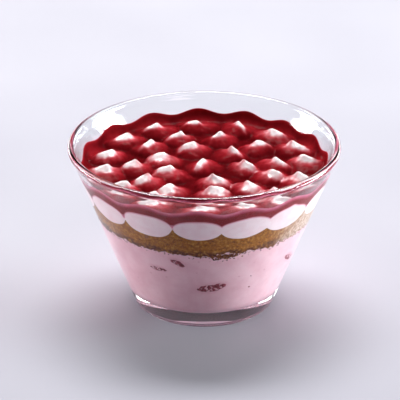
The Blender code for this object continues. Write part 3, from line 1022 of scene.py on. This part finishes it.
def make_piped_cream():
    angle = round_angles(DOLLOP_SIDES)
    top = plan_rings(cream_top, angle, spread(DOLLOP_RINGS_OVER, CROWDING), DOLLOP_REACH)
    low = plan_rings(cream_bottom, angle, spread(DOLLOP_RINGS_UNDER, CROWDING), DOLLOP_REACH)[::-1]
    side = wall_rings(angle, top[-1, :, 2], low[0, :, 2], DOLLOP_WALL_RINGS, DOLLOP_REACH)
    rings = np.concatenate([top, side, low])
    below = top[-1, :, 2][None, :] - rings[..., 2]
    blush = 1.0 - smooth_step(*BLUSH_DEPTH, below)
    tint = 1.0 - blush[..., None] * BLUSH
    piece = solid_of_rings(
        "piped_cream_dollops", rings, (0, 0, CREAM_MIDDLE), (0, 0, BED_BOTTOM), {"tint": tint}
    )
    return finish_piece(piece, white_cream_material(), "white_cream", "piped_cream")


def make_sauce():
    angle = round_angles(SAUCE_SIDES)
    top = plan_rings(
        lambda x, y: sauce_top(x, y)[0],
        angle,
        spread(SAUCE_RINGS_OVER, SAUCE_CROWDING),
        SAUCE_REACH,
        climb_edge(angle),
    )
    low = plan_rings(
        lambda x, y: np.maximum(cream_top(x, y), POOL_BOTTOM) - SAUCE_OVERLAP,
        angle,
        spread(SAUCE_RINGS_UNDER, CROWDING),
        SAUCE_REACH,
    )[::-1]
    side = wall_rings(angle, top[-1, :, 2], low[0, :, 2], SAUCE_WALL_RINGS, SAUCE_REACH)
    rings = np.concatenate([top, side, low])
    _, cover, dull = sauce_top(rings[..., 0], rings[..., 1])
    first_side = len(top) - 1
    below = top[-1, :, 2][None, :] - rings[first_side:, :, 2]
    above = rings[first_side:, :, 2] - low[0, :, 2][None, :]
    thin = THIN_COVER + (1.0 - THIN_COVER) * smooth_step(0.0, THIN_HEIGHT, above)
    cover[first_side:] = (WALL_COVER[0] + WALL_COVER[1] * smooth_step(*WALL_COVER_DEPTH, below)) * thin
    tint = sauce_colour(cover)
    # Purple-pink along the film's upper edge: partly its thinness, partly a painted reflection.
    tint[first_side:] += FILM_PINK_AND_REFLECTION * smooth_step(*FILM_DEPTH, below)[..., None]
    middle = float(sauce_top(np.zeros(1), np.zeros(1))[0][0])
    piece = solid_of_rings(
        "berry_sauce_cover", rings, (0, 0, middle), (0, 0, BED_TOP), {"tint": tint, "dull": dull}
    )
    return finish_piece(piece, sauce_material(), "berry_sauce", "berry_sauce")


# Fruit and crumbs against the glass.


def fruit_places():
    wander = random.Random(SEED)
    places = list(FRONT_FRUIT)
    for index in range(HIDDEN_FRUIT_COUNT):
        angle = HIDDEN_FRUIT_START + HIDDEN_FRUIT_STEP * index
        width = wander.uniform(*HIDDEN_FRUIT_WIDTHS)
        thickness = width * wander.uniform(*HIDDEN_FRUIT_SLIMNESS)
        height = wander.uniform(*HIDDEN_FRUIT_HEIGHTS)
        tilt = HIDDEN_FRUIT_TILT * wander.uniform(-1.0, 1.0)
        places.append((angle, height, width, thickness, tilt))
    return places


def near_fruit(points, turn, height, tilt):
    """How far points on the wall are along a fruit piece and across it."""
    angle = np.arctan2(points[..., 1], points[..., 0]) - math.radians(turn)
    angle = (angle + math.pi) % FULL_TURN - math.pi
    along = angle * inner_wall(height)
    up = (points[..., 2] - height) * SLANT
    c, s = math.cos(math.radians(tilt)), math.sin(math.radians(tilt))
    return along * c + up * s, up * c - along * s


def ball(subdivisions):
    """Points and faces of a ball of radius 1."""
    shape = bmesh.new()
    bmesh.ops.create_icosphere(shape, subdivisions=subdivisions, radius=1.0)
    points = np.array([v.co[:] for v in shape.verts])
    faces = [tuple(v.index for v in face.verts) for face in shape.faces]
    shape.free()
    return points, faces


def make_fruit():
    """Pulpy pieces, whose knobs touch the glass while cream fills the hollows between them."""
    material = fruit_material()
    points, faces = ball(subdivisions=5)
    for index, (turn, height, width, thickness, tilt) in enumerate(fruit_places(), start=1):
        start = FRUIT_NOISE + FRUIT_NOISE_STEP * index
        rough = unevenness(*(points.T), FRUIT_ROUGHNESS_SIZE, start, octaves=2)
        rough = 1.0 + FRUIT_ROUGHNESS * rough
        shape = points * rough[:, None] * [FRUIT_DEPTH / 2, width / 2, thickness / 2]
        move = Matrix.Rotation(math.radians(turn), 4, "Z")
        move @= Matrix.Translation((inner_wall(height) - FRUIT_INSET, 0.0, height))
        lean = Matrix.Rotation(WALL_ANGLE, 4, "Y") @ Matrix.Rotation(math.radians(tilt), 4, "X")
        move = np.array(move @ lean)
        placed = shape @ move[:3, :3].T + move[:3, 3]
        knobs = KNOB_CONTRAST * unevenness(*(placed.T), KNOB_SIZE, start, octaves=3)
        knobs += FRUIT_SHOWING[index - 1] if index <= len(FRUIT_SHOWING) else HIDDEN_FRUIT_SHOWING
        keep_inside(placed, CREAM_REACH + KNOB_DEPTH * np.clip(knobs, *KNOB_RANGE))
        name = f"strawberry_bit_{index}"
        piece = link(name, smooth_mesh(name, placed, faces))
        finish_piece(piece, material, "fruit", f"fruit_piece_{index}")


def keep_inside(points, reach):
    """Draws points inwards that reach further into the wall than this."""
    radius = np.hypot(points[:, 0], points[:, 1])
    most = inner_wall(points[:, 2], reach)
    points[:, :2] *= np.minimum(1.0, most / radius)[:, None]


def scattered(name, grains, material, slot):
    """One mesh of many small uneven grains: (angle, height, size, colour, seed)."""
    points, faces = ball(subdivisions=1)
    all_points, all_faces, all_colours = [], [], []
    for angle, height, size, colour, seed in grains:
        wander = random.Random(seed)
        rough = np.array([wander.uniform(*GRAIN_ROUGHNESS) for _ in points])
        thickness = size * wander.uniform(*GRAIN_THICKNESS)
        shape = points * rough[:, None] * [size * GRAIN_FLATNESS, size, thickness]
        turn = Matrix.Rotation(angle, 3, "Z") @ Matrix.Rotation(WALL_ANGLE, 3, "Y")
        turn @= Matrix.Rotation(wander.uniform(0, math.pi), 3, "X")
        shape = shape @ np.array(turn).T
        r = inner_wall(height) - size * GRAIN_FLATNESS * GRAIN_INSET
        shape += [r * math.cos(angle), r * math.sin(angle), height]
        keep_inside(shape, GRAIN_REACH)
        start = len(all_points) * len(points)
        all_points.append(shape)
        all_faces += [tuple(start + i for i in face) for face in faces]
        all_colours.append(np.tile(colour, (len(points), 1)))
    mesh = smooth_mesh(name, np.concatenate(all_points), all_faces)
    add_values(mesh, "tint", np.concatenate(all_colours))
    return finish_piece(link(name, mesh), material, slot)


def loose_crumb(wander, angle, rise, scatter, sizes):
    """A grain under the crumb's lower edge, or a little above it."""
    below = abs(wander.gauss(0.0, scatter)) * MM
    height = float(crumb_edge(np.array(angle))) + rise - below
    size = wander.uniform(*sizes) * MM
    return angle, height, size, wander.choice(CRUMB_BROWNS), wander.random()


def make_loose_crumbs():
    """Dark crumbs along the layer's lower edge, some of them sunk into the cream."""
    wander = random.Random(SEED)
    along_edge = (EDGE_CRUMB_RISE, EDGE_CRUMB_SCATTER, EDGE_CRUMB_SIZES)
    grains = []
    for _ in range(EDGE_CRUMB_COUNT):
        angle = wander.uniform(-math.pi, math.pi)
        grains.append(loose_crumb(wander, angle, *along_edge))
    for _ in range(CLUSTER_COUNT):
        angle = math.radians(wander.gauss(CLUSTER_ANGLE, CLUSTER_SPREAD))
        grains.append(loose_crumb(wander, angle, 0.0, CLUSTER_SCATTER, CLUSTER_SIZES))
    material = grain_material("loose_biscuit_crumbs")
    return scattered("loose_biscuit_crumbs", grains, material, "biscuit")


def make_fruit_specks():
    """Seeds and threads of fruit in the cream, at the glass."""
    wander = random.Random(SEED + 1)
    grains = []
    for angle, height in CLEAR_SPECKS:
        place = (math.radians(angle), height * MM)
        grains.append((*place, CLEAR_SPECK_SIZE, CLEAR_SPECK_COLOUR, angle))
    for _ in range(SPECK_COUNT):
        angle = wander.uniform(-math.pi, math.pi)
        height = wander.uniform(*SPECK_HEIGHTS) * MM
        size = wander.uniform(*SPECK_SIZES) * MM
        grains.append((angle, height, size, wander.choice(SPECK_COLOURS), wander.random()))
    return scattered("fruit_specks", grains, grain_material("fruit_specks"), "fruit")


# The stage, the light and the camera.


def make_floor():
    mesh = bpy.data.meshes.new("floor")
    corners = [(x * FLOOR_REACH, y * FLOOR_REACH, 0) for x, y in ((-1, -1), (1, -1), (1, 1), (-1, 1))]
    mesh.from_pydata(corners, [], [(0, 1, 2, 3)])
    floor = link("floor", mesh)
    material, tree, shader = material_with_shader(
        "pale_floor", Roughness=0.9, Specular_IOR_Level=0.0
    )
    tone = noise_value(tree, 90 * MM, detail=1.0)
    colour = ramp(tree, tone, (0.3, (0.42, 0.41, 0.46)), (0.7, (0.45, 0.44, 0.49)))
    paint(tree, shader, colour)
    mesh.materials.append(material)


def fade_edge(data):
    """Makes a lamp's light fade towards its edge, so that what mirrors it shows no hard outline."""
    data.use_nodes = True
    tree = data.node_tree
    place = node(tree, "NewGeometry").outputs["Parametric"]
    from_middle = node(tree, "VectorMath", {0: place, 1: (0.5, 0.5, 0.0)}, operation="DISTANCE")
    soft = node(
        tree,
        "MapRange",
        {
            "Value": from_middle.outputs["Value"],
            "From Min": LAMP_EDGE,
            "From Max": LAMP_FULL,
            "To Max": LAMP_GAIN,
        },
        interpolation_type="SMOOTHSTEP",
    )
    tree.links.new(soft.outputs["Result"], tree.nodes["Emission"].inputs["Strength"])


def make_lamp(name, azimuth, elevation, distance, width, height, watts, colour):
    """A softbox that faces the dessert."""
    data = bpy.data.lights.new(name, "AREA")
    data.shape = "ELLIPSE"
    data.size, data.size_y = width, height
    data.energy = watts
    data.color = colour
    fade_edge(data)
    light = link(name, data)
    light.visible_camera = False
    a, e = math.radians(azimuth), math.radians(elevation)
    way = Vector((math.sin(a) * math.cos(e), -math.cos(a) * math.cos(e), math.sin(e)))
    light.location = Vector((0.0, 0.0, LAMP_AIM_HEIGHT)) + way * distance
    light.rotation_mode = "QUATERNION"
    light.rotation_quaternion = way.to_track_quat("Z", "Y")


def make_light():
    world = bpy.data.worlds.new("studio")
    bpy.context.scene.world = world
    world.use_nodes = True
    background = world.node_tree.nodes["Background"]
    background.inputs["Color"].default_value = ROOM_COLOUR
    background.inputs["Strength"].default_value = ROOM_STRENGTH
    for lamp in LAMPS:
        make_lamp(*lamp)
    bpy.context.scene.view_settings.view_transform = "Standard"


def make_camera():
    data = bpy.data.cameras.new("camera")
    data.lens, data.sensor_width = LENS, SENSOR_WIDTH
    data.clip_start = NEAREST
    camera = link("camera", data)
    e = CAMERA_ELEVATION
    back = Vector((0.0, -math.cos(e), math.sin(e)))
    right = Vector((1.0, 0.0, 0.0))
    up = Vector((0.0, math.sin(e), math.cos(e)))
    camera.location = Vector((0.0, 0.0, CAMERA_AIM_HEIGHT)) + CAMERA_DISTANCE * back
    look = -back + right * (AIM_PIXELS[0] / FOCAL_PIXELS) + up * (AIM_PIXELS[1] / FOCAL_PIXELS)
    camera.rotation_mode = "QUATERNION"
    camera.rotation_quaternion = look.to_track_quat("-Z", "Y")
    bpy.context.scene.camera = camera


make_glass()
make_strawberry_cream()
make_crumb()
make_piped_cream()
make_sauce()
make_fruit()
make_loose_crumbs()
make_fruit_specks()
make_floor()
make_light()
make_camera()
